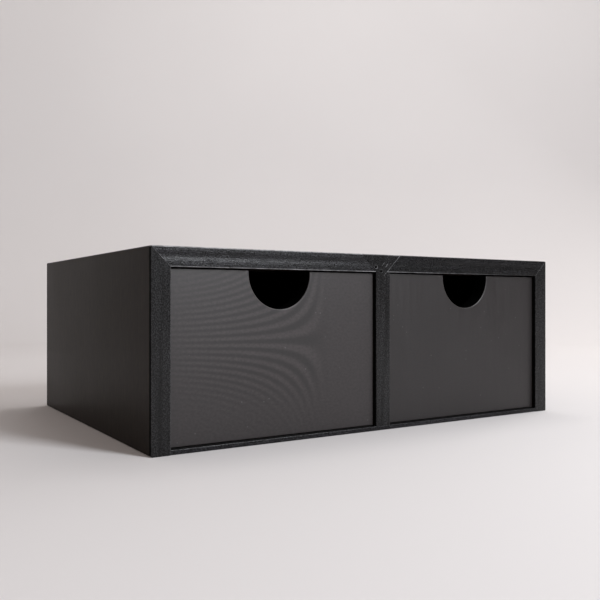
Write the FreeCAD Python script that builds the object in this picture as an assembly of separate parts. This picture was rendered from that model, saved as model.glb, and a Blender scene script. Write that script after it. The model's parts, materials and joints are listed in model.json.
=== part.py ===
import FreeCAD, Part
import os

from FreeCAD import Vector

# A wooden desk box with two drawers side by side, drawn closed.
# X runs along the front to the right, Y from the front to the back, Z up.
# The origin is under the middle of the box, on the surface it stands on.
# All lengths are in millimetres.

# Carcass: boards, their rebates and their rounded outer edges
width = 333.0
depth = 243.0
height = 120.0
board = 12.0
bottom_board = 3.0
back_board = 4.0
rebate = 6.0
outer_round = 0.8
panel_play = 0.2

# Front strips, glued on the front edges of the boards
lipping = 3.0
key_lap = 3.0
arris = 0.4

# Loose tongue in each top mitre
spline_thick = 3.0
spline_reach = 3.8
spline_stop = 16.0

# Drawer boards
front_board = 12.0
front_lip = 6.0
drawer_board = 8.0
drawer_bottom = 3.0
groove_depth = 4.0
groove_height = 6.0
side_drop = 9.8
front_bevel = 0.6

# Half-round finger notch in the top edge of each drawer front, below a short straight stretch
notch_radius = 22.2
notch_straight = 2.0
notch_bevel = 0.5

# Running and fitting clearances
side_gap = 0.4
top_gap = 0.7
sill_gap = 0.6
running_gap = 0.3
stop_gap = 0.3
groove_play = 0.2
fastener_play = 0.05

# Dowels between divider and top
dowel_diameter = 6.0
dowel_length = 24.0
dowel_in_top = 8.0
dowel_chamfer = 0.8
dowel_count = 3
dowel_end = 30.0

# Countersunk screws up through the bottom into the divider
screw_diameter = 3.0
screw_head = 6.0
screw_length = 20.0
screw_point = 3.0
screw_count = 3
screw_end = 45.0

# Headless pins of flat wire, and how far pins and screws are sunk below the surface
pin_wide = 1.3
pin_thick = 1.0
pin_length = 18.0
sink = 0.3
back_pin_end = 30.0
bottom_pin_end = 35.0
drawer_pin_end = 16.0

# The two pins in the flared head of the divider strip: across from the middle, up from the top's underside
key_pin_spots = ((-6.1, 3.4), (-1.7, 1.0))

# Planes and edges that several pieces share
y_front = -depth / 2
y_board = y_front + lipping
y_back = depth / 2
y_back_inside = y_back - back_board
x_outside = width / 2
x_inside = x_outside - board
x_rebate = x_inside + rebate
x_divider = board / 2
z_under_top = height - board
z_rebate = z_under_top + rebate
bay_width = x_inside - x_divider
bay_centre = x_divider + bay_width / 2

drawer_half = bay_width / 2 - side_gap
drawer_inside = drawer_half - drawer_board
y_front_back = y_board + front_board
y_side_start = y_board + front_lip
y_drawer_back = y_back_inside - stop_gap
y_drawer_inside = y_drawer_back - drawer_board
z_front_low = bottom_board + sill_gap
z_front_top = z_under_top - top_gap
z_side_low = bottom_board + running_gap
z_side_top = z_front_top - side_drop
z_notch_arc = z_front_top - notch_straight
z_notch_low = z_notch_arc - notch_radius
z_groove = z_side_low + groove_height
z_drawer_floor = z_groove + drawer_bottom


def block(x, y, z):
    """Box between the two limits given for each axis."""
    corner = Vector(x[0], y[0], z[0])
    return Part.makeBox(x[1] - x[0], y[1] - y[0], z[1] - z[0], corner)


def prism(outline, y):
    """Outline of (x, z) corners, drawn on the plane y[0] and extruded to y[1]."""
    corners = [Vector(px, y[0], pz) for px, pz in outline]
    face = Part.Face(Part.makePolygon(corners + corners[:1]))
    return solid(face.extrude(Vector(0, y[1] - y[0], 0)))


def solid(shape):
    """The one solid of a shape, turned the right way out."""
    body = shape.Solids[0]
    if body.Volume < 0:
        body.reverse()
    return body


def mirrored(shape):
    """The same piece on the other side of the middle plane."""
    return solid(shape.mirror(Vector(0, 0, 0), Vector(1, 0, 0)))


def spread(low, high, count):
    """Evenly spaced places from low to high, ends included."""
    return [low + (high - low) * i / (count - 1) for i in range(count)]


def drilled(shape, holes):
    """Shape with every given hole cut out of it."""
    return solid(shape.cut(Part.makeCompound(holes)))


def edges_on(shape, test):
    """Edges whose end points all pass the test."""
    return [e for e in shape.Edges if all(test(v.Point) for v in e.Vertexes)]


def near(a, b):
    return abs(a - b) < 1e-6


def turned(profile, at, along):
    """Solid of revolution from (radius, length) points, set at a place along a direction."""
    points = [Vector(r, 0, s) for r, s in profile]
    face = Part.Face(Part.makePolygon(points + points[:1]))
    body = solid(face.revolve(Vector(0, 0, 0), Vector(0, 0, 1), 360))
    body.Placement = FreeCAD.Placement(at, FreeCAD.Rotation(Vector(0, 0, 1), along))
    return body


# Rounded outer form of the whole box, which the outside pieces are trimmed to
def outer_form():
    form = block((-x_outside, x_outside), (y_front, y_back), (0, height))
    return form.makeFillet(outer_round, form.Edges)


def eased(piece):
    return solid(piece.common(outer_form()))


# Fasteners, and the holes for them with the same sizes plus a play
def flat_bar(at, along, play, start, end):
    """Bar of the pins' section, from start to end along a direction from a place."""
    x = pin_wide / 2 + play
    y = pin_thick / 2 + play
    bar = block((-x, x), (-y, y), (start, end))
    bar.Placement = FreeCAD.Placement(at, FreeCAD.Rotation(Vector(0, 0, 1), along))
    return bar


def pin(at, along):
    """Headless pin, driven in at a place on the surface and sunk."""
    return flat_bar(at, along, 0, sink, sink + pin_length)


def pin_hole(at, along):
    return flat_bar(at, along, fastener_play, 0, sink + pin_length + fastener_play)


def screw(at, along, play=0.0):
    """Countersunk screw from the top of its head to its point."""
    head = screw_head / 2 + play
    shank = screw_diameter / 2 + play
    neck = head - shank
    end = screw_length + play
    profile = [(0, 0), (head, 0), (shank, neck), (shank, end - screw_point), (0, end)]
    return turned(profile, at + along * sink, along)


def screw_hole(at, along):
    mouth = Part.makeCylinder(screw_head / 2 + fastener_play, sink, at, along)
    return screw(at, along, fastener_play).fuse(mouth)


def dowel(at):
    """Dowel with chamfered ends, standing dowel_in_top above the underside of the top."""
    radius = dowel_diameter / 2
    low = dowel_in_top - dowel_length
    bevel = dowel_chamfer
    profile = [(0, low), (radius - bevel, low), (radius, low + bevel), (radius, dowel_in_top - bevel)]
    profile += [(radius - bevel, dowel_in_top), (0, dowel_in_top)]
    return turned(profile, at, Vector(0, 0, 1))


def dowel_hole(at):
    foot = at + Vector(0, 0, dowel_in_top - dowel_length - fastener_play)
    return Part.makeCylinder(dowel_diameter / 2 + fastener_play, dowel_length + 2 * fastener_play, foot)


def dowel_places():
    runs = spread(y_board + dowel_end, y_back_inside - dowel_end, dowel_count)
    return [Vector(0, y, z_under_top) for y in runs]


def screw_places():
    runs = spread(y_board + screw_end, y_back_inside - screw_end, screw_count)
    return [(Vector(0, y, 0), Vector(0, 0, 1)) for y in runs]


def bottom_pin_places():
    runs = spread(y_board + bottom_pin_end, y_back_inside - bottom_pin_end, 3)
    x = (x_inside + x_rebate) / 2
    return [(Vector(s * x, y, 0), Vector(0, 0, 1)) for s in (-1, 1) for y in runs]


def back_pin_places():
    x = (x_inside + x_rebate) / 2
    z = (z_under_top + z_rebate) / 2
    spots = [(px, z) for px in spread(-x_inside + back_pin_end, x_inside - back_pin_end, 3)]
    for pz in (back_pin_end, z_under_top - back_pin_end):
        spots += [(-x, pz), (x, pz)]
    spots.append((0, z_under_top / 2))
    return [(Vector(px, y_back, pz), Vector(0, -1, 0)) for px, pz in spots]


def key_pin_places():
    return [(Vector(x, y_front, z_under_top + z), Vector(0, 1, 0)) for x, z in key_pin_spots]


# Mitre tongue of the left corner, square to the mitre and halfway along it
def left_spline(play=0.0):
    reach = spline_reach + play
    half = spline_thick / 2 + play / 2
    end = y_back_inside - spline_stop + play
    tongue = block((-reach, reach), (y_board, end), (-half, half))
    middle = Vector(-(x_inside + x_outside) / 2, 0, (z_under_top + height) / 2)
    tongue.Placement = FreeCAD.Placement(middle, FreeCAD.Rotation(Vector(0, 1, 0), -45))
    return tongue


# Carcass boards
def back_recess():
    return block((-x_rebate, x_rebate), (y_back_inside, y_back), (0, z_rebate))


def bottom_recess():
    return block((-x_rebate, x_rebate), (y_board, y_back_inside), (0, bottom_board))


def left_side_panel():
    mitred = [(-x_outside, 0), (-x_inside, 0), (-x_inside, z_under_top), (-x_outside, height)]
    panel = eased(prism(mitred, (y_board, y_back)))
    panel = solid(panel.cut(back_recess()).cut(bottom_recess()).cut(left_spline(panel_play)))
    holes = [pin_hole(*p) for p in back_pin_places() + bottom_pin_places()]
    return drilled(panel, holes)


def top_panel():
    mitred = [(-x_outside, height), (-x_inside, z_under_top), (x_inside, z_under_top), (x_outside, height)]
    panel = eased(prism(mitred, (y_board, y_back))).cut(back_recess())
    tongue = left_spline(panel_play)
    panel = solid(panel.cut(tongue).cut(mirrored(tongue)))
    holes = [pin_hole(*p) for p in back_pin_places() + key_pin_places()]
    holes += [dowel_hole(p) for p in dowel_places()]
    return drilled(panel, holes)


def bottom_panel():
    half = x_rebate - panel_play
    panel = block((-half, half), (y_board, y_back_inside), (0, bottom_board))
    holes = [pin_hole(*p) for p in bottom_pin_places()] + [screw_hole(*p) for p in screw_places()]
    return drilled(panel, holes)


def back_panel():
    half = x_rebate - panel_play
    panel = block((-half, half), (y_back_inside, y_back), (panel_play, z_rebate - panel_play))
    return drilled(panel, [pin_hole(*p) for p in back_pin_places()])


def divider_panel():
    panel = block((-x_divider, x_divider), (y_board, y_back_inside), (bottom_board, z_under_top))
    holes = [pin_hole(*p) for p in back_pin_places()] + [dowel_hole(p) for p in dowel_places()]
    holes += [screw_hole(*p) for p in screw_places()]
    return drilled(panel, holes)


# Front strips: outlines on the front, mitred at the corners, with eased inner edges
def strip(outline, inner_edge):
    piece = prism(outline, (y_front, y_board))
    inner = edges_on(piece, lambda p: near(p.y, y_front) and inner_edge(p))
    return eased(solid(piece.makeChamfer(arris, inner)))


def left_lipping():
    outline = [(-x_outside, 0), (-x_inside, 0), (-x_inside, z_under_top), (-x_outside, height)]
    return strip(outline, lambda p: near(p.x, -x_inside))


def top_left_lipping():
    outline = [(-x_outside, height), (-x_inside, z_under_top)]
    outline += [(-x_divider, z_under_top), (-x_divider - board, height)]
    return strip(outline, lambda p: near(p.z, z_under_top))


def top_right_lipping():
    foot = x_divider - key_lap
    outline = [(x_outside, height), (x_inside, z_under_top), (foot, z_under_top), (foot + board, height)]
    return strip(outline, lambda p: near(p.z, z_under_top) and p.x > 0)


def divider_lipping():
    """Upright with a flared head: cut at 45 degrees both ways, lapped on the right."""
    foot = x_divider - key_lap
    outline = [(-x_divider, bottom_board), (x_divider, bottom_board), (x_divider, z_under_top)]
    outline += [(foot, z_under_top), (foot + board, height), (-x_divider - board, height)]
    outline += [(-x_divider, z_under_top)]
    piece = prism(outline, (y_front, y_board))
    for sign in (-1, 1):
        piece = piece.cut(corner_wedge(sign * x_divider, -sign))
    return drilled(eased(solid(piece)), [pin_hole(*p) for p in key_pin_places()])


def corner_wedge(x, inward):
    """Chamfer of arris size along an upright edge of the divider strip."""
    corners = [Vector(x, y_front, bottom_board), Vector(x + inward * arris, y_front, bottom_board)]
    corners.append(Vector(x, y_front + arris, bottom_board))
    face = Part.Face(Part.makePolygon(corners + corners[:1]))
    return solid(face.extrude(Vector(0, 0, z_under_top - arris - bottom_board)))


def bottom_lipping():
    outline = [(-x_inside, 0), (x_inside, 0), (x_inside, bottom_board), (-x_inside, bottom_board)]
    return strip(outline, lambda p: near(p.z, bottom_board))


# One drawer, drawn in the middle and moved to its bay afterwards
def notched_outline():
    """Front seen from ahead: a rectangle with a round-bottomed notch in its top edge."""
    low_left = Vector(-drawer_half, y_board, z_front_low)
    low_right = Vector(drawer_half, y_board, z_front_low)
    top_right = Vector(drawer_half, y_board, z_front_top)
    top_left = Vector(-drawer_half, y_board, z_front_top)
    rim_right = Vector(notch_radius, y_board, z_front_top)
    rim_left = Vector(-notch_radius, y_board, z_front_top)
    arc_right = Vector(notch_radius, y_board, z_notch_arc)
    arc_low = Vector(0, y_board, z_notch_low)
    arc_left = Vector(-notch_radius, y_board, z_notch_arc)
    edges = [Part.LineSegment(low_left, low_right), Part.LineSegment(low_right, top_right)]
    edges += [Part.LineSegment(top_right, rim_right), Part.LineSegment(rim_right, arc_right)]
    edges += [Part.Arc(arc_right, arc_low, arc_left), Part.LineSegment(arc_left, rim_left)]
    edges += [Part.LineSegment(rim_left, top_left), Part.LineSegment(top_left, low_left)]
    return Part.Wire([e.toShape() for e in edges])


def in_notch(point):
    return abs(point.x) < notch_radius + 1e-6 and point.z > z_notch_low - 1e-6


def drawer_front(holes):
    front = solid(Part.Face(notched_outline()).extrude(Vector(0, front_board, 0)))
    front = front.makeChamfer(front_bevel, edges_on(front, lambda p: near(p.y, y_board)))
    inner_rim = edges_on(front, lambda p: near(p.y, y_front_back) and in_notch(p))
    front = front.makeChamfer(notch_bevel, [e for e in inner_rim if not near(e.Length, 2 * notch_radius)])
    tall = (z_front_low, z_front_top)
    for sign in (-1, 1):
        ends = sorted((sign * drawer_inside, sign * drawer_half))
        front = front.cut(block(ends, (y_side_start, y_front_back), tall))
    groove = (z_groove, z_drawer_floor + groove_play)
    across = (-drawer_inside, drawer_inside)
    front = front.cut(block(across, (y_front_back - groove_depth, y_front_back), groove))
    return drilled(front, holes)


def drawer_left_side(holes):
    outside = (-drawer_half, -drawer_inside)
    side = block(outside, (y_side_start, y_drawer_back), (z_side_low, z_side_top))
    groove = (z_groove, z_drawer_floor + groove_play)
    grooved = (-drawer_inside - groove_depth, -drawer_inside)
    side = side.cut(block(grooved, (y_side_start, y_drawer_back), groove))
    return drilled(side, holes)


def drawer_right_side(holes):
    """Made as the left side is, the other way round."""
    return mirrored(drawer_left_side([mirrored(h) for h in holes]))


def drawer_back(holes):
    across = (-drawer_inside, drawer_inside)
    back = block(across, (y_drawer_inside, y_drawer_back), (z_drawer_floor, z_side_top))
    return drilled(back, holes)


def drawer_bottom_panel():
    half = drawer_inside + groove_depth - panel_play
    start = y_front_back - groove_depth + panel_play
    return block((-half, half), (start, y_drawer_back), (z_groove, z_drawer_floor))


def drawer_pin_places():
    """Two pins through each side into the front, and two into the back."""
    heights = (z_drawer_floor + drawer_pin_end, z_side_top - drawer_pin_end)
    runs = ((y_side_start + y_front_back) / 2, (y_drawer_inside + y_drawer_back) / 2)
    spots = [(sign, y, z) for sign in (-1, 1) for y in runs for z in heights]
    return [(Vector(sign * drawer_half, y, z), Vector(-sign, 0, 0)) for sign, y, z in spots]


def drawer_pieces():
    places = drawer_pin_places()
    holes = [pin_hole(*p) for p in places]
    return {
        "front": drawer_front(holes),
        "left_side": drawer_left_side(holes),
        "right_side": drawer_right_side(holes),
        "back": drawer_back(holes),
        "bottom": drawer_bottom_panel(),
        "pins": Part.makeCompound([pin(*p) for p in places]),
    }


def carcass_pieces():
    side = left_side_panel()
    lip = left_lipping()
    tongue = left_spline()
    return {
        "left_side_panel": side,
        "right_side_panel": mirrored(side),
        "top_panel": top_panel(),
        "bottom_panel": bottom_panel(),
        "back_panel": back_panel(),
        "divider_panel": divider_panel(),
        "left_lipping": lip,
        "right_lipping": mirrored(lip),
        "top_left_lipping": top_left_lipping(),
        "top_right_lipping": top_right_lipping(),
        "divider_lipping": divider_lipping(),
        "bottom_lipping": bottom_lipping(),
        "left_mitre_spline": tongue,
        "right_mitre_spline": mirrored(tongue),
        "divider_dowels": Part.makeCompound([dowel(p) for p in dowel_places()]),
        "divider_screws": Part.makeCompound([screw(*p) for p in screw_places()]),
        "bottom_pins": Part.makeCompound([pin(*p) for p in bottom_pin_places()]),
        "back_pins": Part.makeCompound([pin(*p) for p in back_pin_places()]),
        "key_pins": Part.makeCompound([pin(*p) for p in key_pin_places()]),
    }


def all_pieces():
    pieces = carcass_pieces()
    for name, shape in drawer_pieces().items():
        for bay, x in (("left", -bay_centre), ("right", bay_centre)):
            pieces[bay + "_drawer_" + name] = shape.translated(Vector(x, 0, 0))
    return pieces


os.makedirs("parts", exist_ok=True)
for node, shape in all_pieces().items():
    shape.exportStep("parts/" + node + ".step")
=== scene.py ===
import json
import math

import bmesh
import bpy
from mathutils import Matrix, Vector

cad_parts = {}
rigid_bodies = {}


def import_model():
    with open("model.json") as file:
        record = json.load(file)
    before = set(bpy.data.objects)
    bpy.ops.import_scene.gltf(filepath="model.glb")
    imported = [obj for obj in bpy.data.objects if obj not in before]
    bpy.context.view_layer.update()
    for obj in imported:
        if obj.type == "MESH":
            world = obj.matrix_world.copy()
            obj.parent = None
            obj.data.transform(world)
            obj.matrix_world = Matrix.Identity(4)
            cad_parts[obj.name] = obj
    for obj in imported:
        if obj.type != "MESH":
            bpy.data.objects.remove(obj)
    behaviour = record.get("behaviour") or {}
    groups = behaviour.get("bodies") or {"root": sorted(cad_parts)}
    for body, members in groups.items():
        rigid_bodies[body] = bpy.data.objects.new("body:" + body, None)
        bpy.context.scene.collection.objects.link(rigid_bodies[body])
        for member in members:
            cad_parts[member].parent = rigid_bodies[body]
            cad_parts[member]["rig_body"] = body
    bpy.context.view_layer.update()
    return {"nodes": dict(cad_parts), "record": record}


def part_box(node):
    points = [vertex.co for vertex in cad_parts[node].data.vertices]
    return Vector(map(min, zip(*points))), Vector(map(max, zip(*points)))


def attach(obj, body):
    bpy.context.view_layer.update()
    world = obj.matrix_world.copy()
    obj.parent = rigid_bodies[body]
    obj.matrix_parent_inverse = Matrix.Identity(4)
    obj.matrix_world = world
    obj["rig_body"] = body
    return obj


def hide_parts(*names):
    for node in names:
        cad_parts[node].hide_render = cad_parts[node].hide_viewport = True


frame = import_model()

# A black wooden desk box with two drawers side by side, drawn closed.
# X runs along the front to the right, Y from the front to the back, Z up, all in metres.
mm = 0.001

# Places that the frame gives
top_low, top_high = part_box("top_panel")
left_strip_low, left_strip_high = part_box("left_lipping")
back_low, back_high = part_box("back_panel")
height = top_high.z
z_under_top = top_low.z
z_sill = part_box("bottom_panel")[1].z
x_outside = -left_strip_low.x
x_inside = -left_strip_high.x
x_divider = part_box("divider_panel")[1].x
x_head_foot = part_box("top_right_lipping")[0].x
y_front = left_strip_low.y
y_board = left_strip_high.y
y_back = top_high.y
y_back_inside = back_low.y
strip_height = height - z_under_top

# Edges: how far they are rounded or bevelled, and in how many steps
corner_round = 0.9 * mm
front_round = 0.6 * mm
back_round = 0.5 * mm
arris = 0.5 * mm
joint_bevel = 0.14 * mm
left_mitre_bevel = joint_bevel * 2.6
right_head_bevel = joint_bevel * 2.8
round_steps = 3
arris_steps = 2
bevel_steps = 1
sharp_angle = math.radians(40)

# Wear of the edges, from 0 for none to 1 for bare; on the left mitre, the top strip's edges and the
# drawer fronts' edges the pale paint is partly painted highlight
wear_outer_edge = 0.12
# The pale left mitre is partly wear, partly painted highlight.
wear_and_glint_left_mitre = 0.9
wear_right_mitre = 0.35
wear_left_inner_edge = 0.15
wear_right_inner_edge = 0.0
wear_top_left_mitre = 0.2
wear_top_right_mitre = 0.3
wear_left_head_joint = 0.0
wear_right_head_joint = 0.8
wear_head_top = 0.5
wear_divider_edge = 0.05
wear_sill_edge = 0.06
wear_board_back = 0.15
# The pale edges of the drawer fronts, the notch's rim too, are partly wear, partly painted highlight.
wear_and_glint_drawer_front = 0.35
wear_pin_rim = 0.3
wear_knife_mark = 0.7

# Wear of the upper and the lower edge of the top strip's halves; partly painted highlight, paler on the
# left half where the highlight falls
wear_and_glint_top_left_edges = (0.9, 0.75)
wear_and_glint_top_right_edges = (0.25, 0.6)

# Steps in which the wear and painted highlight fade along the right half, and how far from its mitre
# they end
fade_steps = 12
fade_end = 20 * mm

# Hollow along the face of the top strips: how deep, its middle, half its width
hollow_depth = 0.30 * mm
z_hollow = height - 5.7 * mm
hollow_half = 3.4 * mm
hollow_steps = 5

# Head of the divider strip: sunk pins, and knife marks with their ends and width.
# Places are in millimetres, across from the middle and up from the underside of the top strip.
pin_spots = ((-6.15, 3.4), (-1.6, 0.7))
pin_hole = 1.1 * mm
pin_rim = 1.5 * mm
pin_bevel = 0.2 * mm
pin_sink = 0.36 * mm
pin_sides = 24
knife_marks = (
    ((2.9, -0.1), (0.6, -2.4), 0.24),
    ((-0.9, 4.3), (1.0, 6.6), 0.28),
    ((2.1, 3.4), (4.1, 5.8), 0.28),
)
knife_depth = 0.15 * mm
knife_over = 0.1 * mm

# Rebates of the carcass boards and the play of the thin panels in them
panel_play = 0.2 * mm
x_rebate = back_high.x + panel_play
z_rebate = back_high.z + panel_play

# Drawer front: notch, rebates for the sides and groove for the bottom
notch_radius = 22.2 * mm
notch_straight = 2.0 * mm
notch_steps = 64
front_bevel = 0.6 * mm
groove_play = 0.2 * mm
rebate_reach = 20 * mm

# How far a cutter reaches past a board, and the slack in comparing places and in slicing meshes
cut_over = 1 * mm
touch = 0.01 * mm
slice_slack = 0.001 * mm

# How much of a face's normal lies along an axis: nearly all, little or next to none
squarely = 0.9
hardly = 0.2
barely = 0.1

# Smallest area of a strip's side edge
least_edge_area = 10 * mm * mm

slot_of = {part["node"]: part["material_slot"] for part in frame["record"]["subparts"]}


# Node trees
class Nodes:
    """A node tree with short calls that add a node, set it and wire it."""

    def __init__(self, tree):
        self.tree = tree

    def add(self, kind, inputs=None, **settings):
        node = self.tree.nodes.new(kind)
        for key, value in settings.items():
            setattr(node, key, value)
        for key, value in (inputs or {}).items():
            self.feed(node.inputs[key], value)
        return node

    def feed(self, socket, value):
        if isinstance(value, bpy.types.NodeSocket):
            self.tree.links.new(value, socket)
        elif isinstance(value, tuple) and socket.type == "RGBA":
            socket.default_value = (*value, 1.0)
        else:
            socket.default_value = value

    def math(self, operation, first, second=0.0, third=0.0):
        inputs = {0: first, 1: second, 2: third}
        return self.add("ShaderNodeMath", inputs, operation=operation).outputs[0]

    def vector(self, operation, first, second):
        """Node that works on two vectors; its outputs are a vector and a value."""
        return self.add("ShaderNodeVectorMath", {0: first, 1: second}, operation=operation).outputs

    def scaled(self, vector, factors):
        return self.vector("MULTIPLY", vector, factors)[0]

    def axes(self, vector):
        """The three parts of a vector."""
        return self.add("ShaderNodeSeparateXYZ", {0: vector}).outputs

    def span(self, value, low, high, to_low=0.0, to_high=1.0):
        """Smooth step of a value from one range to another."""
        ends = {"Value": value, "From Min": low, "From Max": high, "To Min": to_low, "To Max": to_high}
        return self.add("ShaderNodeMapRange", ends, interpolation_type="SMOOTHSTEP").outputs[0]

    def varied(self, noise, to_low=0.0, to_high=1.0):
        """Value that follows a soft noise between two limits."""
        return self.span(noise, 0.3, 0.7, to_low, to_high)

    def blend(self, share, first, second):
        """Colour between two colours."""
        inputs = {0: share, 6: first, 7: second}
        return self.add("ShaderNodeMix", inputs, data_type="RGBA").outputs[2]

    def toned(self, colour, factor):
        """Colour made lighter or darker by a factor."""
        return self.add("ShaderNodeVectorMath", {0: colour, 3: factor}, operation="SCALE").outputs[0]

    def noise(self, place, size, detail=3.0, roughness=0.55):
        """Soft noise from 0 to 1 with so many bumps to a metre."""
        inputs = {"Vector": place, "Scale": size, "Detail": detail, "Roughness": roughness}
        return self.add("ShaderNodeTexNoise", inputs).outputs["Fac"]

    def place(self):
        """Place on the piece, in metres."""
        return self.add("ShaderNodeTexCoord").outputs["Object"]

    def group(self, tree, **inputs):
        node = self.add("ShaderNodeGroup", node_tree=tree)
        for key, value in inputs.items():
            self.feed(node.inputs[key.replace("_", " ").capitalize()], value)
        return node.outputs


def new_group(name, inputs, outputs):
    """Empty node group; gives its nodes, the sockets that it takes and those that it puts out."""
    tree = bpy.data.node_groups.new(name, "ShaderNodeTree")
    for label, kind, value in inputs:
        socket = tree.interface.new_socket(label, in_out="INPUT", socket_type=kind)
        socket.default_value = value
    for label in outputs:
        tree.interface.new_socket(label, in_out="OUTPUT", socket_type="NodeSocketFloat")
    nodes = Nodes(tree)
    return nodes, nodes.add("NodeGroupInput").outputs, nodes.add("NodeGroupOutput").inputs


def wood_grain_group():
    """Long streaks and short open pores that run along the grain."""
    inputs = [("Stretch", "NodeSocketVector", (0.05, 1.0, 1.0)), ("Size", "NodeSocketFloat", 900.0)]
    nodes, given, put = new_group("wood grain", inputs, ["Streaks", "Pores", "Height"])
    along = nodes.scaled(nodes.place(), given["Stretch"])
    streaks = nodes.span(nodes.noise(along, given["Size"], 4.0, 0.6), 0.28, 0.72)
    finer = nodes.math("MULTIPLY", given["Size"], 1.7)
    pores = nodes.span(nodes.noise(along, finer, 2.0), 0.57, 0.72)
    ridge = nodes.math("MULTIPLY", streaks, 0.6)
    nodes.feed(put["Streaks"], streaks)
    nodes.feed(put["Pores"], pores)
    nodes.feed(put["Height"], nodes.math("SUBTRACT", ridge, pores))
    return nodes.tree


def wear_and_glint_edge_group():
    """How much of the finish is rubbed off an eased edge, in patches; on some edges the pale paint is
    painted highlight.
    """
    inputs = [("Amount", "NodeSocketFloat", 1.0), ("Patches", "NodeSocketFloat", 180.0)]
    nodes, given, put = new_group("edge wear and glint", inputs, ["Mask"])
    edge = nodes.add("ShaderNodeAttribute", attribute_name="wear_and_glint").outputs["Fac"]
    patches = nodes.varied(nodes.noise(nodes.place(), given["Patches"], 4.0), 0.35, 1.0)
    mask = nodes.math("MULTIPLY", nodes.math("MULTIPLY", edge, patches), given["Amount"])
    nodes.feed(put["Mask"], nodes.math("MINIMUM", mask, 1.0))
    return nodes.tree


def dust_group():
    """A few tiny pale specks."""
    inputs = [("Spacing", "NodeSocketFloat", 160.0), ("Share", "NodeSocketFloat", 0.12)]
    nodes, given, put = new_group("dust", inputs, ["Mask"])
    spread = {"Vector": nodes.place(), "Scale": given["Spacing"]}
    cells = nodes.add("ShaderNodeTexVoronoi", spread).outputs
    draw = nodes.add("ShaderNodeSeparateColor", {0: cells["Color"]}).outputs
    speck = nodes.span(cells["Distance"], 0.06, 0.15, 1.0, 0.0)
    few = nodes.math("LESS_THAN", draw[0], given["Share"])
    strength = nodes.math("MULTIPLY", few, draw[1])
    nodes.feed(put["Mask"], nodes.math("MULTIPLY", speck, strength))
    return nodes.tree


def fine_line_group():
    """Very fine level lines, a little uneven, as on a brushed laminate."""
    inputs = [("Count", "NodeSocketFloat", 2460.0)]
    nodes, given, put = new_group("fine lines", inputs, ["Lines"])
    place = nodes.place()
    level = nodes.axes(place)[2]
    sway = nodes.math("MULTIPLY", nodes.noise(nodes.scaled(place, (0.2, 1.0, 1.0)), 300.0), 2.0)
    turns = nodes.math("ADD", nodes.math("MULTIPLY", level, given["Count"]), sway)
    wave = nodes.math("SINE", nodes.math("MULTIPLY", turns, math.tau))
    nodes.feed(put["Lines"], nodes.math("MULTIPLY_ADD", wave, 0.5, 0.5))
    return nodes.tree


grain = wood_grain_group()
wear_and_glint_edge = wear_and_glint_edge_group()
dust = dust_group()
fine_line = fine_line_group()

# Stretch of the grain along each axis
along_x = (0.06, 1.0, 1.0)
along_y = (1.0, 0.06, 1.0)
along_z = (1.0, 1.0, 0.06)

# Colours that show where the finish is worn, also used as painted highlight on some edges, and the
# colour of dust
bare_and_glint_strip = (0.36, 0.36, 0.37)
bare_strip_edge = (0.05, 0.05, 0.05)
bare_board = (0.09, 0.08, 0.075)
bare_and_glint_front = (0.12, 0.115, 0.115)
dust_colour = (0.26, 0.26, 0.26)


def new_material(name):
    """Material with its nodes and its shader."""
    material = bpy.data.materials.new(name)
    material.use_nodes = True
    material.node_tree.nodes.clear()
    nodes = Nodes(material.node_tree)
    shader = nodes.add("ShaderNodeBsdfPrincipled")
    out = nodes.add("ShaderNodeOutputMaterial")
    nodes.feed(out.inputs["Surface"], shader.outputs[0])
    return material, nodes, shader.inputs


def bumped(nodes, shader, depth, height_value):
    """Relief of a given depth in metres."""
    inputs = {"Strength": 1.0, "Distance": depth, "Height": height_value}
    nodes.feed(shader["Normal"], nodes.add("ShaderNodeBump", inputs).outputs[0])


def shortened(stretch, share):
    """Stretch along the same axis as another, but by a share of its own."""
    return tuple(share if part < 1 else 1.0 for part in stretch)


def strip_finish(name, stretch, relief, count, dark, pale, gloss, roughness):
    """Black stained open-pored wood of the front strips, with rubbed edges, partly painted highlight."""
    material, nodes, shader = new_material(name)
    wood = nodes.group(grain, stretch=stretch, size=1100.0)
    wear_and_glint = nodes.group(wear_and_glint_edge, amount=1.0, patches=260.0)
    flecks = nodes.noise(nodes.scaled(nodes.place(), shortened(stretch, 0.7)), count, 2.0, 0.6)
    colour = nodes.blend(nodes.span(flecks, 0.44, 0.60), dark, pale)
    streaks = nodes.noise(nodes.scaled(nodes.place(), stretch), 320.0, 2.0)
    colour = nodes.toned(colour, nodes.varied(streaks, 0.6, 1.4))
    pores = nodes.math("MULTIPLY", wood["Pores"], 0.5)
    colour = nodes.blend(pores, colour, nodes.toned(colour, 0.4))
    colour = nodes.blend(wear_and_glint["Mask"], colour, bare_and_glint_strip)
    nodes.feed(shader["Base Color"], colour)
    nodes.feed(shader["Roughness"], nodes.span(flecks, 0.35, 0.65, *roughness))
    shader["Specular IOR Level"].default_value = gloss
    height_value = nodes.math("ADD", wood["Height"], nodes.math("MULTIPLY", flecks, 3.0))
    bumped(nodes, shader, relief, height_value)
    return material


def strip_edge_painted_shade_finish():
    """Sealed side edges of the strips: dull and very black; the near-black is partly their sealed finish
    and partly painted shade.
    """
    material, nodes, shader = new_material("strip edge, black, painted shade")
    wear_and_glint = nodes.group(wear_and_glint_edge, amount=0.3, patches=200.0)
    cloud = nodes.noise(nodes.place(), 90.0)
    # Near-black colour: painted shade on the strips' side edges, the top strip's underside and the
    # sill's top.
    colour = nodes.blend(cloud, (0.001, 0.001, 0.001), (0.003, 0.003, 0.003))
    nodes.feed(shader["Base Color"], nodes.blend(wear_and_glint["Mask"], colour, bare_strip_edge))
    nodes.feed(shader["Roughness"], nodes.varied(cloud, 0.75, 0.9))
    shader["Specular IOR Level"].default_value = 0.05
    return material


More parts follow.
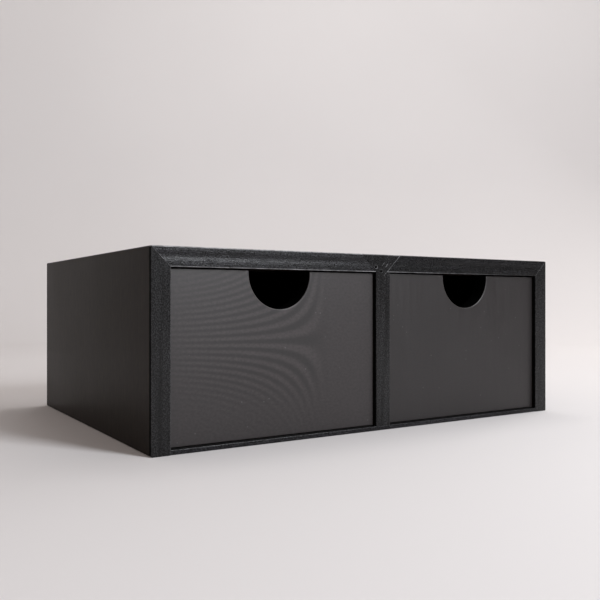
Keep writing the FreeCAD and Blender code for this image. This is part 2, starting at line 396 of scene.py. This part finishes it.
def board_finish(name, stretch):
    """Warm black veneer of the sides and the top, satin, with fine streaks along the grain."""
    material, nodes, shader = new_material(name)
    wood = nodes.group(grain, stretch=stretch, size=700.0)
    wear_and_glint = nodes.group(wear_and_glint_edge, amount=0.5, patches=150.0)
    cloud = nodes.noise(nodes.place(), 14.0, 2.0)
    colour = nodes.blend(wood["Streaks"], (0.0125, 0.0096, 0.0073), (0.0195, 0.0152, 0.0118))
    pores = nodes.math("MULTIPLY", wood["Pores"], 0.25)
    colour = nodes.blend(pores, colour, (0.009, 0.0065, 0.005))
    specks = nodes.noise(nodes.scaled(nodes.place(), shortened(stretch, 0.16)), 900.0, 2.0, 0.6)
    colour = nodes.toned(colour, nodes.span(specks, 0.25, 0.75, 0.65, 1.35))
    colour = nodes.blend(wear_and_glint["Mask"], colour, bare_board)
    nodes.feed(shader["Base Color"], colour)
    nodes.feed(shader["Roughness"], nodes.varied(cloud, 0.285, 0.315))
    shader["Specular IOR Level"].default_value = 0.03
    bumped(nodes, shader, 0.005 * mm, wood["Height"])
    return material


def thin_board_finish():
    """Thin hard board of the back and the bottoms: matt black with a fine fibre."""
    material, nodes, shader = new_material("thin black board")
    place = nodes.place()
    fibre = nodes.noise(place, 1500.0, 4.0, 0.65)
    cloud = nodes.noise(place, 25.0)
    colour = nodes.blend(nodes.varied(fibre), (0.012, 0.0115, 0.011), (0.022, 0.021, 0.020))
    colour = nodes.blend(nodes.math("MULTIPLY", cloud, 0.4), colour, (0.014, 0.013, 0.012))
    nodes.feed(shader["Base Color"], colour)
    nodes.feed(shader["Roughness"], nodes.varied(fibre, 0.6, 0.72))
    bumped(nodes, shader, 0.03 * mm, fibre)
    return material


# Watered bands on the left drawer front: saddle-shaped, about a middle where they part
band_middle = Vector((-45.1 * mm, 0.0, 61.3 * mm))
band_rate = 4.82e3
band_narrowing = 3.7
band_slant = 7.8
band_start = -0.25

# Where the bands fade: away from the middle, to the right of it, and below it
band_reach = (45 * mm, 140 * mm)
band_squash = (1.0, 0.0, 1.3)
band_right = (-20 * mm, 5 * mm)
band_below = (-46 * mm, -8 * mm)
band_share_below = 0.15


def watered_bands(nodes):
    """Faint bands that come in level from the left and turn up and down at a middle point."""
    offset = nodes.vector("SUBTRACT", nodes.place(), band_middle)[0]
    parts = nodes.axes(offset)
    across = parts[0]
    rise = parts[2]
    rate = nodes.math("MULTIPLY_ADD", across, band_narrowing, 1.0)
    saddle = nodes.math("MULTIPLY", across, rise)
    turns = nodes.math("MULTIPLY", saddle, nodes.math("MULTIPLY", rate, -band_rate))
    slant = nodes.math("MULTIPLY_ADD", across, band_slant, band_start)
    wave = nodes.math("SINE", nodes.math("MULTIPLY", nodes.math("ADD", turns, slant), math.tau))
    squashed = {0: nodes.scaled(offset, band_squash)}
    reach = nodes.add("ShaderNodeVectorMath", squashed, operation="LENGTH").outputs[1]
    fade = nodes.math(
        "MULTIPLY", nodes.span(reach, *band_reach, 1.0, 0.0), nodes.span(across, *band_right, 1.0, 0.0)
    )
    fade = nodes.math("MULTIPLY", fade, nodes.span(rise, *band_below, band_share_below, 1.0))
    return nodes.math("MULTIPLY", wave, fade)


def charcoal_finish(name, dark, pale, watered):
    """Satin charcoal laminate of the drawer fronts, with very fine level lines and some dust."""
    material, nodes, shader = new_material(name)
    lines = nodes.group(fine_line, count=2460.0)["Lines"]
    wear_and_glint = nodes.group(wear_and_glint_edge, amount=0.8, patches=120.0)
    specks = nodes.group(dust, spacing=260.0, share=0.14)["Mask"]
    cloud = nodes.noise(nodes.scaled(nodes.place(), (0.6, 1.0, 1.0)), 16.0, 2.0)
    colour = nodes.blend(nodes.varied(cloud), dark, pale)
    colour = nodes.blend(nodes.math("MULTIPLY", lines, 0.25), colour, nodes.toned(colour, 0.4))
    mottle = nodes.noise(nodes.scaled(nodes.place(), (0.7, 1.0, 1.0)), 700.0, 2.0, 0.6)
    colour = nodes.toned(colour, nodes.span(mottle, 0.25, 0.75, 0.7, 1.3))
    roughness = nodes.varied(cloud, 0.395, 0.42)
    if watered:
        bands = nodes.span(watered_bands(nodes), -1.0, 1.0)
        colour = nodes.blend(bands, nodes.toned(colour, 0.45), nodes.toned(colour, 1.55))
    else:
        streaks = nodes.noise(nodes.scaled(nodes.place(), along_z), 260.0, 3.0)
        roughness = nodes.math("ADD", roughness, nodes.varied(streaks, -0.035, 0.035))
    colour = nodes.blend(wear_and_glint["Mask"], colour, bare_and_glint_front)
    colour = nodes.blend(specks, colour, dust_colour)
    nodes.feed(shader["Base Color"], colour)
    nodes.feed(shader["Roughness"], roughness)
    shader["Specular IOR Level"].default_value = 0.60
    bumped(nodes, shader, 0.01 * mm, lines)
    return material


def drawer_black_finish(name, stretch):
    """Matt black of the drawers' inner boards, with fine streaks along the grain."""
    material, nodes, shader = new_material(name)
    wood = nodes.group(grain, stretch=stretch, size=600.0)
    colour = nodes.blend(wood["Streaks"], (0.005, 0.005, 0.005), (0.012, 0.0115, 0.011))
    nodes.feed(shader["Base Color"], colour)
    nodes.feed(shader["Roughness"], nodes.span(wood["Streaks"], 0.0, 1.0, 0.70, 0.82))
    shader["Specular IOR Level"].default_value = 0.2
    bumped(nodes, shader, 0.02 * mm, wood["Height"])
    return material


def notch_black_painted_shade_finish():
    """Deep flat black of the cut edge in the notches and of the pin holes' bores: black paint on the
    notch edges, darker still as painted shade; in the pin holes it is painted shade.
    """
    material, nodes, shader = new_material("notch black, painted shade")
    cloud = nodes.noise(nodes.place(), 300.0)
    colour = nodes.blend(cloud, (0.0005, 0.0005, 0.0005), (0.0015, 0.0015, 0.0015))
    nodes.feed(shader["Base Color"], colour)
    nodes.feed(shader["Roughness"], nodes.varied(cloud, 0.85, 0.95))
    shader["Specular IOR Level"].default_value = 0.02
    return material


def steel_finish(name, bright, dark):
    """Drawn steel wire or a screw, with a dull bloom."""
    material, nodes, shader = new_material(name)
    bloom = nodes.noise(nodes.place(), 900.0, 4.0)
    nodes.feed(shader["Base Color"], nodes.blend(nodes.varied(bloom), bright, dark))
    nodes.feed(shader["Roughness"], nodes.varied(bloom, 0.28, 0.45))
    shader["Metallic"].default_value = 1.0
    return material


def beech_finish():
    """Bare beech of the dowels and the mitre tongues, with short flecks."""
    material, nodes, shader = new_material("bare beech")
    wood = nodes.group(grain, stretch=along_z, size=800.0)
    colour = nodes.blend(wood["Streaks"], (0.42, 0.26, 0.14), (0.55, 0.36, 0.21))
    nodes.feed(shader["Base Color"], nodes.blend(wood["Pores"], colour, (0.30, 0.17, 0.09)))
    nodes.feed(shader["Roughness"], nodes.span(wood["Streaks"], 0.0, 1.0, 0.5, 0.65))
    bumped(nodes, shader, 0.02 * mm, wood["Height"])
    return material


level_strip = strip_finish(
    "black strip, level grain", along_x, relief=0.06 * mm, count=1500.0,
    dark=(0.0005, 0.0005, 0.0006), pale=(0.0150, 0.0146, 0.0182), gloss=0.26, roughness=(0.25, 0.36),
)
# Darker copy for the right half of the top strip: painted shade where the highlight on the top strip
# falls off to the right.
level_strip_painted_shade = strip_finish(
    "black strip, level grain, painted shade", along_x, relief=0.06 * mm, count=1500.0,
    dark=(0.0004, 0.0004, 0.0005), pale=(0.0085, 0.0085, 0.0100), gloss=0.20, roughness=(0.25, 0.36),
)
upright_strip = strip_finish(
    "black strip, upright grain", along_z, relief=0.02 * mm, count=1400.0,
    dark=(0.006, 0.006, 0.0063), pale=(0.0175, 0.0175, 0.0185), gloss=0.24, roughness=(0.24, 0.30),
)
strip_edge_painted_shade = strip_edge_painted_shade_finish()
upright_board = board_finish("warm black board, upright grain", along_z)
level_board = board_finish("warm black board, level grain", along_x)
thin_board = thin_board_finish()
# The left front's colours are lighter than the right front's below: painted light, for the brighter
# light on the left drawer; the right front's darker colours stand for its shade.
watered_front_painted_lighter = charcoal_finish(
    "charcoal front, watered, painted lighter", dark=(0.0192, 0.0154, 0.0160), pale=(0.0214, 0.0174, 0.0181), watered=True
)
plain_front = charcoal_finish(
    "charcoal front", dark=(0.0070, 0.0050, 0.0054), pale=(0.0084, 0.0062, 0.0066), watered=False
)
drawer_black = drawer_black_finish("drawer black, grain to the back", along_y)
drawer_black_across = drawer_black_finish("drawer black, grain across", along_x)
notch_black_painted_shade = notch_black_painted_shade_finish()
steel = steel_finish("steel", bright=(0.55, 0.55, 0.56), dark=(0.35, 0.35, 0.36))
# Near-black steel of the key pins: painted shade, so that their sunk heads show as dark dots.
pin_black_painted_shade = steel_finish("pin black, painted shade", bright=(0.010, 0.010, 0.010), dark=(0.004, 0.004, 0.004))
beech = beech_finish()


# Meshes
def corner_arc(x, z, radius, start, end, steps=5):
    """Arc about (x, z) from one angle to another in degrees, 0 towards +X and 90 towards +Z."""
    turns = [math.radians(start + (end - start) * i / steps) for i in range(steps + 1)]
    return [(x + radius * math.cos(t), z + radius * math.sin(t)) for t in turns]


def left_corner(z, start, end):
    """Rounded outer corner of the box on its left."""
    return corner_arc(-x_outside + corner_round, z, corner_round, start, end)


def prism(outline, y_near, y_far):
    """Closed mesh of an outline of (x, z) corners, carried from y_near to y_far."""
    mesh = bmesh.new()
    mesh.faces.layers.float.new("wear_and_glint")
    front_ring = [mesh.verts.new((x, y_near, z)) for x, z in outline]
    back_ring = [mesh.verts.new((x, y_far, z)) for x, z in outline]
    mesh.faces.new(front_ring)
    mesh.faces.new(back_ring[::-1])
    wrap_rings(mesh, front_ring, back_ring)
    bmesh.ops.recalc_face_normals(mesh, faces=mesh.faces)
    return mesh


def wrap_rings(mesh, first, second):
    """Walls between two rings of as many corners; gives the new faces."""
    count = len(first)
    walls = []
    for i in range(count):
        j = (i + 1) % count
        walls.append(mesh.faces.new((first[j], first[i], second[i], second[j])))
    return walls


def block(x, y, z):
    """Box between the two limits given for each axis."""
    return prism([(x[0], z[0]), (x[1], z[0]), (x[1], z[1]), (x[0], z[1])], *y)


def ease(mesh, test, width, steps, wear_and_glint):
    """Rounds the edges whose ends pass a test, and notes how pale the new faces are painted, for wear
    and for painted highlight.
    """
    chosen = [e for e in mesh.edges if all(test(v.co) for v in e.verts)]
    settings = {"offset_type": "OFFSET", "profile": 0.5, "affect": "EDGES", "clamp_overlap": True}
    made = bmesh.ops.bevel(mesh, geom=chosen, offset=width, segments=steps, **settings)
    layer = mesh.faces.layers.float["wear_and_glint"]
    for face in made["faces"]:
        face[layer] = wear_and_glint


def slice_mesh(mesh, spot, normal):
    """Adds edges where a plane through a spot meets the mesh."""
    everything = [*mesh.verts, *mesh.edges, *mesh.faces]
    plane = {"plane_co": spot, "plane_no": normal, "dist": slice_slack}
    bmesh.ops.bisect_plane(mesh, geom=everything, **plane)


def near(first, second):
    return abs(first - second) < touch


def on_front(point):
    return near(point.y, y_front)


def on_slant(point, x_foot):
    """Whether a point lies on a joint that leans left at 45 degrees from the strip's underside."""
    above = point.z - z_under_top
    return near(point.x - x_foot, -above) and above > -touch


def by_upper_edge(point):
    """Whether a point is level with the top, or in the upper part of an outer corner's rounding."""
    return point.z > height - corner_round * 0.8


def ease_slant(mesh, x_foot, width, wear_and_glint):
    """Bevels the front edge of a joint that leans left from its foot."""
    ease(mesh, lambda p: on_slant(p, x_foot) and p.y < y_board - arris, width, bevel_steps, wear_and_glint)


def new_object(name, mesh, materials):
    data = bpy.data.meshes.new(name)
    for material in materials:
        data.materials.append(material)
    mesh.to_mesh(data)
    mesh.free()
    made = bpy.data.objects.new(name, data)
    bpy.context.scene.collection.objects.link(made)
    return made


def cut_away(piece, cutters, materials):
    """Cuts other meshes out of a piece for good; the cut faces keep the cutters' materials."""
    knives = []
    for cutter in cutters:
        knife = new_object("cutter", cutter, materials)
        tool = piece.modifiers.new("cut", "BOOLEAN")
        tool.operation = "DIFFERENCE"
        tool.solver = "EXACT"
        tool.material_mode = "TRANSFER"
        tool.object = knife
        knives.append(knife)
    ready = piece.evaluated_get(bpy.context.evaluated_depsgraph_get())
    data = bpy.data.meshes.new_from_object(ready)
    piece.modifiers.clear()
    piece.data = data
    for knife in knives:
        bpy.data.objects.remove(knife)


def stand_for(piece, node):
    """Smooth shading, and the piece takes the place of a node of the frame."""
    piece.data.shade_smooth()
    piece.data.set_sharp_from_angle(angle=sharp_angle)
    flat = piece.modifiers.new("flat faces", "WEIGHTED_NORMAL")
    flat.keep_sharp = True
    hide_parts(node)
    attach(piece, frame["nodes"][node]["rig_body"])


def paint_faces(mesh, test):
    """Gives the faces that pass a test the second of the piece's materials."""
    for face in mesh.faces:
        if test(face):
            face.material_index = 1


def mirrored(mesh):
    """The same mesh on the other side of the middle plane."""
    bmesh.ops.scale(mesh, vec=(-1.0, 1.0, 1.0), verts=mesh.verts)
    bmesh.ops.reverse_faces(mesh, faces=mesh.faces)
    return mesh


# Front strips
def is_strip_edge(face):
    """Whether a face is a side edge of a strip, and not its front, its back or a bevel."""
    return abs(face.normal.y) < hardly and face.calc_area() > least_edge_area


def is_upright_edge(face):
    return is_strip_edge(face) and abs(face.normal.x) > squarely


def upright_outline():
    """Left side of the box from ahead: full height, mitred at its top."""
    outline = [(-x_inside, 0.0), (-x_inside, z_under_top)]
    outline += left_corner(height - corner_round, 135, 180)
    outline += left_corner(corner_round, 180, 270)
    return outline


def on_outer_edge(point):
    """Whether a point lies on the front edge that an upright strip shows to the outside."""
    return on_front(point) and point.x < -x_inside - arris and point.z < height - corner_round


def upright_strip_mesh(mitre_bevel, wear_and_glint_mitre, worn_inside):
    """Left strip of the front frame."""
    mesh = prism(upright_outline(), y_front, y_board)
    ease(mesh, on_outer_edge, front_round, round_steps, wear_outer_edge)
    ease(mesh, lambda p: on_front(p) and near(p.x, -x_inside), arris, arris_steps, worn_inside)
    ease_slant(mesh, -x_inside, mitre_bevel, wear_and_glint_mitre)
    # Side edges of the upright strip take the near-black edge finish, painted shade.
    paint_faces(mesh, is_upright_edge)
    return mesh


def build_upright_strips():
    left = upright_strip_mesh(left_mitre_bevel, wear_and_glint_left_mitre, wear_left_inner_edge)
    right = mirrored(upright_strip_mesh(joint_bevel, wear_right_mitre, wear_right_inner_edge))
    stand_for(new_object("left_strip", left, [upright_strip, strip_edge_painted_shade]), "left_lipping")
    stand_for(new_object("right_strip", right, [upright_strip, strip_edge_painted_shade]), "right_lipping")


def top_strip_mesh(x_joint, wear_and_glint_upper, wear_and_glint_lower):
    """Left half of the top strip, from the corner mitre to its joint with the divider's head."""
    outline = [(-x_inside, z_under_top), (x_joint, z_under_top), (x_joint - strip_height, height)]
    outline += left_corner(height - corner_round, 90, 135)
    mesh = prism(outline, y_front, y_board)
    ease(mesh, lambda p: on_front(p) and by_upper_edge(p), front_round, round_steps, wear_and_glint_upper)
    ease(mesh, lambda p: on_front(p) and near(p.z, z_under_top), arris, arris_steps, wear_and_glint_lower)
    # The underside of the top strip takes the near-black edge finish, painted shade.
    paint_faces(mesh, lambda f: is_strip_edge(f) and f.normal.z < -squarely)
    return mesh


def fade_wear_and_glint(mesh, x_full, x_none):
    """Lets the wear and painted highlight of a strip's edges fade from one place along it to another."""
    for step in range(1, fade_steps):
        x = x_full + (x_none - x_full) * step / fade_steps
        slice_mesh(mesh, (x, 0.0, 0.0), (1.0, 0.0, 0.0))
    layer = mesh.faces.layers.float["wear_and_glint"]
    for face in mesh.faces:
        share = (face.calc_center_median().x - x_none) / (x_full - x_none)
        face[layer] *= min(max(share, 0.0), 1.0)


def hollow(mesh):
    """Dishes the face of a top strip along its length, as sanding across a joint leaves it."""
    for step in range(-hollow_steps, hollow_steps + 1):
        z = z_hollow + hollow_half * step / hollow_steps
        slice_mesh(mesh, (0.0, 0.0, z), (0.0, 0.0, 1.0))
    for vert in mesh.verts:
        reach = abs(vert.co.z - z_hollow) / hollow_half
        if reach < 1 and vert.co.y < y_front + arris:
            vert.co.y += hollow_depth * 0.5 * (1 + math.cos(math.pi * reach))


def build_top_strips():
    """Both halves, drawn as left ones; the right half's wear and painted highlight fade towards its
    mitre.
    """
    x_left = -x_divider
    left = top_strip_mesh(x_left, *wear_and_glint_top_left_edges)
    ease_slant(left, -x_inside, joint_bevel, wear_top_left_mitre)
    ease_slant(left, x_left, joint_bevel, wear_left_head_joint)
    hollow(left)
    x_right = -x_head_foot
    right = top_strip_mesh(x_right, *wear_and_glint_top_right_edges)
    fade_wear_and_glint(right, x_right, -x_inside + fade_end)
    ease_slant(right, -x_inside, joint_bevel, wear_top_right_mitre)
    ease_slant(right, x_right, right_head_bevel, wear_right_head_joint)
    hollow(right)
    stand_for(new_object("top_left_strip", left, [level_strip, strip_edge_painted_shade]), "top_left_lipping")
    # The right half takes the darker copy of the strip finish: painted shade.
    right_finish = [level_strip_painted_shade, strip_edge_painted_shade]
    stand_for(new_object("top_right_strip", mirrored(right), right_finish), "top_right_lipping")


def head_spot(across, up):
    """Place on the front of the divider's head, from millimetres."""
    return across * mm, z_under_top + up * mm


def pin_hole_cutter(across, up):
    """Round hole with a bevelled pale rim and a bore painted black as shade."""
    x, z = head_spot(across, up)
    mesh = bmesh.new()
    layer = mesh.faces.layers.float.new("wear_and_glint")
    last_turn = 360 - 360 / pin_sides
    rings = []
    for y, radius in (
        (y_front - pin_bevel, pin_rim + pin_bevel),
        (y_front + pin_bevel, pin_hole),
        (y_front + pin_sink, pin_hole),
    ):
        circle = corner_arc(x, z, radius, 0, last_turn, pin_sides - 1)
        rings.append([mesh.verts.new((px, y, pz)) for px, pz in circle])
    mesh.faces.new(rings[0])
    bottom = mesh.faces.new(rings[2][::-1])
    # The hole's bottom and bore take the near-black finish: painted shade in the hole.
    bottom.material_index = 1
    rim = wrap_rings(mesh, rings[0], rings[1])
    bore = wrap_rings(mesh, rings[1], rings[2])
    for wall in bore:
        wall.material_index = 1
    for wall in rim + bore:
        wall[layer] = wear_pin_rim
    bmesh.ops.recalc_face_normals(mesh, faces=mesh.faces)
    return mesh


def knife_cutter(start, end, width):
    """Shallow cut with a V section between two points of the head."""
    ends = [Vector((x, y_front, z)) for x, z in (head_spot(*start), head_spot(*end))]
    along = (ends[1] - ends[0]).normalized()
    across = Vector((along.z, 0.0, -along.x)) * width * mm / 2
    spread = across * (1 + knife_over / knife_depth)
    out = Vector((0.0, -knife_over, 0.0))
    deep = Vector((0.0, knife_depth, 0.0))
    mesh = bmesh.new()
    layer = mesh.faces.layers.float.new("wear_and_glint")
    sections = []
    for spot in ends:
        corners = (spot + out - spread, spot + out + spread, spot + deep)
        sections.append([mesh.verts.new(corner) for corner in corners])
    mesh.faces.new(sections[0])
    mesh.faces.new(sections[1][::-1])
    wrap_rings(mesh, *sections)
    for face in mesh.faces:
        face[layer] = wear_knife_mark
    bmesh.ops.recalc_face_normals(mesh, faces=mesh.faces)
    return mesh


def build_divider_strip():
    """Upright strip with a flared head, lapped on the right, with sunk pins and knife marks."""
    outline = [(-x_divider, z_sill), (x_divider, z_sill), (x_divider, z_under_top)]
    outline += [(x_head_foot, z_under_top), (x_head_foot + strip_height, height)]
    outline += [(-x_divider - strip_height, height), (-x_divider, z_under_top)]
    mesh = prism(outline, y_front, y_board)
    ease(mesh, lambda p: on_front(p) and near(p.z, height), front_round, round_steps, wear_head_top)
    for x in (-x_divider, x_divider):
        ease(mesh, lambda p: on_front(p) and near(p.x, x), arris, arris_steps, wear_divider_edge)
    # Side edges of the divider strip take the near-black edge finish, painted shade.
    paint_faces(mesh, is_upright_edge)
    strip = new_object("divider_strip", mesh, [upright_strip, strip_edge_painted_shade])
    cutters = [pin_hole_cutter(*spot) for spot in pin_spots]
    cutters += [knife_cutter(*mark) for mark in knife_marks]
    cut_away(strip, cutters, [upright_strip, notch_black_painted_shade])
    stand_for(strip, "divider_lipping")


def build_bottom_strip():
    mesh = block((-x_inside, x_inside), (y_front, y_board), (0.0, z_sill))
    ease(mesh, lambda p: on_front(p) and near(p.z, z_sill), arris, arris_steps, wear_sill_edge)
    ease(mesh, lambda p: on_front(p) and near(p.z, 0.0), front_round, round_steps, 0.0)
    # The sill's top face takes the near-black edge finish, painted shade.
    paint_faces(mesh, lambda f: is_strip_edge(f) and f.normal.z > squarely)
    stand_for(new_object("bottom_strip", mesh, [level_strip, strip_edge_painted_shade]), "bottom_lipping")


# Carcass boards
def back_recess():
    return block((-x_rebate, x_rebate), (y_back_inside, y_back + cut_over), (-cut_over, z_rebate))


def bottom_recess():
    return block((-x_rebate, x_rebate), (y_board - cut_over, y_back), (-cut_over, z_sill))


def on_outer_back(point):
    """Whether a point lies on the back edge that a side board shows to the outside."""
    return near(point.y, y_back) and point.x < -x_outside + corner_round * 1.1


def on_upper_back(point):
    """Whether a point lies on the back edge that the top board shows above."""
    return near(point.y, y_back) and by_upper_edge(point)


def side_board_mesh():
    mesh = prism(upright_outline(), y_board, y_back)
    ease(mesh, on_outer_back, back_round, round_steps, wear_board_back)
    return mesh


def build_side_boards():
    for name, node, mesh in (
        ("left_board", "left_side_panel", side_board_mesh()),
        ("right_board", "right_side_panel", mirrored(side_board_mesh())),
    ):
        board = new_object(name, mesh, [upright_board])
        cut_away(board, [back_recess(), bottom_recess()], [upright_board])
        stand_for(board, node)


def build_top_board():
    z_arc = height - corner_round
    outline = [(x_inside, z_under_top), (-x_inside, z_under_top)]
    outline += left_corner(z_arc, 135, 90)
    outline += corner_arc(x_outside - corner_round, z_arc, corner_round, 90, 45)
    mesh = prism(outline, y_board, y_back)
    ease(mesh, on_upper_back, back_round, round_steps, wear_board_back)
    board = new_object("top_board", mesh, [level_board])
    cut_away(board, [back_recess()], [level_board])
    stand_for(board, "top_panel")


build_upright_strips()
build_top_strips()
build_divider_strip()
build_bottom_strip()
build_side_boards()
build_top_board()


# Drawers
def notched_outline(low, high):
    """Front seen from ahead: a rectangle with a round-bottomed notch in its top edge."""
    middle = (low.x + high.x) / 2
    z_arc = high.z - notch_straight
    outline = [(low.x, low.z), (high.x, low.z), (high.x, high.z), (middle + notch_radius, high.z)]
    outline += corner_arc(middle, z_arc, notch_radius, 360, 180, notch_steps)
    outline += [(middle - notch_radius, high.z), (low.x, high.z)]
    return outline


def build_drawer_front(bay, finish):
    """Notched front with rebates for the drawer's sides and a groove for its bottom."""
    node = bay + "_drawer_front"
    low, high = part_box(node)
    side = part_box(bay + "_drawer_left_side")
    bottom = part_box(bay + "_drawer_bottom")
    middle = (low.x + high.x) / 2
    inside = middle - side[1].x
    z_notch = high.z - notch_radius - 2 * notch_straight

    def is_notch_edge(face):
        spot = face.calc_center_median()
        inward = abs(spot.x - middle) < notch_radius + touch and spot.z > z_notch
        return abs(face.normal.y) < barely and inward

    mesh = prism(notched_outline(low, high), low.y, high.y)
    ease(mesh, lambda p: near(p.y, low.y), front_bevel, round_steps, wear_and_glint_drawer_front)
    # The notch's cut edge takes the near-black finish: black paint, darker still as painted shade.
    paint_faces(mesh, is_notch_edge)
    front = new_object(bay + "_drawer_face", mesh, [finish, notch_black_painted_shade])
    y_past = high.y + cut_over
    upright = (low.z - cut_over, high.z + cut_over)
    cutters = []
    for sign in (-1, 1):
        ends = sorted((middle + sign * inside, middle + sign * (inside + rebate_reach)))
        cutters.append(block(ends, (side[0].y, y_past), upright))
    groove = (bottom[0].z, bottom[1].z + groove_play)
    across = (middle - inside, middle + inside)
    cutters.append(block(across, (bottom[0].y - panel_play, y_past), groove))
    cut_away(front, cutters, [drawer_black])
    stand_for(front, node)


build_drawer_front("left", watered_front_painted_lighter)
build_drawer_front("right", plain_front)

# Finishes of the nodes that are shown as they are
finish_of_slot = {
    "black_board": level_board,
    "thin_black_board": thin_board,
    "black_strip": level_strip,
    "charcoal_front": plain_front,
    "drawer_board": drawer_black,
    "bare_beech": beech,
    "steel": steel,
}
finish_of_node = {
    # The key pins take the near-black steel, painted shade.
    "key_pins": pin_black_painted_shade,
    "divider_panel": upright_board,
    "left_drawer_back": drawer_black_across,
    "right_drawer_back": drawer_black_across,
}
for node, shown in frame["nodes"].items():
    finish = finish_of_node.get(node, finish_of_slot[slot_of[node]])
    shown.data.materials.clear()
    shown.data.materials.append(finish)


# Stage: a pale round sweep, whose middle is under the camera
camera_place = Vector((-0.31587, -0.51502, 0.08893))
camera_turn = math.radians(-32.272)
camera_lens = 43.968
sensor = 36.0
view_line = Vector((-math.sin(camera_turn), math.cos(camera_turn), 0.0))
sweep_radius = 1.95
cove_radius = 0.45
cove_steps = 16
wall_height = 1.5
sweep_steps = 128


def stage_finish():
    """Pale matt paper of the sweep; the wall behind the camera is painted dark, as painted shade."""
    material, nodes, shader = new_material("pale sweep")
    place = nodes.place()
    cloud = nodes.noise(place, 1.5, 2.0)
    tooth = nodes.noise(place, 700.0, 2.0)
    colour = nodes.blend(nodes.varied(cloud), (0.715, 0.700, 0.702), (0.735, 0.720, 0.722))
    colour = nodes.blend(nodes.math("MULTIPLY", tooth, 0.06), colour, (0.62, 0.60, 0.60))
    ahead = nodes.vector("DOT_PRODUCT", place, view_line)[1]
    up = nodes.axes(place)[2]
    # Painted shade: the wall behind the camera is darkened in its colour.
    behind = nodes.span(ahead, -0.9, 0.9, 1.0, 0.0)
    wall_behind_painted_shade = nodes.math("MULTIPLY", behind, nodes.span(up, 0.0, 0.4))
    nodes.feed(shader["Base Color"], nodes.blend(wall_behind_painted_shade, colour, (0.22, 0.21, 0.21)))
    nodes.feed(shader["Roughness"], nodes.varied(cloud, 0.85, 0.92))
    shader["Specular IOR Level"].default_value = 0.2
    return material


def build_sweep():
    mesh = bmesh.new()
    floor_radius = sweep_radius - cove_radius
    profile = [(0.0, 0.0), (floor_radius, 0.0)]
    profile += corner_arc(floor_radius, cove_radius, cove_radius, 270, 360, cove_steps)[1:]
    profile.append((sweep_radius, wall_height))
    points = [mesh.verts.new((radius, 0.0, z)) for radius, z in profile]
    line = [mesh.edges.new(pair) for pair in zip(points, points[1:])]
    turn = {"axis": (0.0, 0.0, 1.0), "cent": (0.0, 0.0, 0.0), "angle": math.tau, "steps": sweep_steps}
    bmesh.ops.spin(mesh, geom=points + line, use_merge=True, **turn)
    bmesh.ops.remove_doubles(mesh, verts=mesh.verts, dist=touch)
    bmesh.ops.recalc_face_normals(mesh, faces=mesh.faces)
    bmesh.ops.reverse_faces(mesh, faces=mesh.faces)
    sweep = new_object("sweep", mesh, [stage_finish()])
    sweep.data.shade_smooth()
    sweep.location = (camera_place.x, camera_place.y, 0.0)


build_sweep()


# Light and camera
def lamp(name, place, target, size, power, colour):
    """Soft box: a rectangular lamp that points at a target."""
    light = bpy.data.lights.new(name, "AREA")
    light.shape = "RECTANGLE"
    light.size = size[0]
    light.size_y = size[1]
    light.energy = power
    light.color = colour
    box = bpy.data.objects.new(name, light)
    box.location = place
    box.rotation_euler = (Vector(target) - Vector(place)).to_track_quat("-Z", "Y").to_euler()
    box.visible_camera = False
    bpy.context.scene.collection.objects.link(box)


def seen_from_corner(azimuth, elevation, distance):
    """Place seen from the near bottom corner; the azimuth turns right from straight ahead."""
    turn = math.radians(azimuth)
    rise = math.radians(elevation)
    level = distance * math.cos(rise)
    corner = Vector((-x_outside, y_front, 0.0))
    return corner + Vector((level * math.sin(turn), -level * math.cos(turn), distance * math.sin(rise)))


middle_of_box = (0.0, 0.0, height / 2)
lamp(
    "soft box", seen_from_corner(azimuth=28, elevation=34, distance=1.25), middle_of_box,
    size=(0.28, 0.64), power=13.0, colour=(0.97, 1.0, 1.04),
)
lamp(
    "side fill", seen_from_corner(azimuth=100, elevation=28, distance=1.5), middle_of_box,
    size=(0.5, 0.5), power=3.5, colour=(1.0, 0.97, 0.95),
)
lamp(
    "wall light", place=(0.35, 0.25, 1.3), target=(0.95, 1.15, 0.25),
    size=(0.8, 0.5), power=6.0, colour=(1.0, 0.99, 0.98),
)

world = bpy.data.worlds.new("room")
world.use_nodes = True
room = world.node_tree.nodes["Background"].inputs
room["Color"].default_value = (1.0, 0.87, 0.80, 1.0)
room["Strength"].default_value = 0.42
bpy.context.scene.world = world

lens = bpy.data.cameras.new("camera")
lens.lens = camera_lens
lens.sensor_width = sensor
lens.sensor_fit = "HORIZONTAL"
lens.clip_start = 0.01
lens.clip_end = 20.0
camera = bpy.data.objects.new("camera", lens)
camera.location = camera_place
camera.rotation_euler = (math.radians(90), 0.0, camera_turn)
bpy.context.scene.collection.objects.link(camera)
bpy.context.scene.camera = camera
bpy.context.scene.view_settings.view_transform = "Standard"
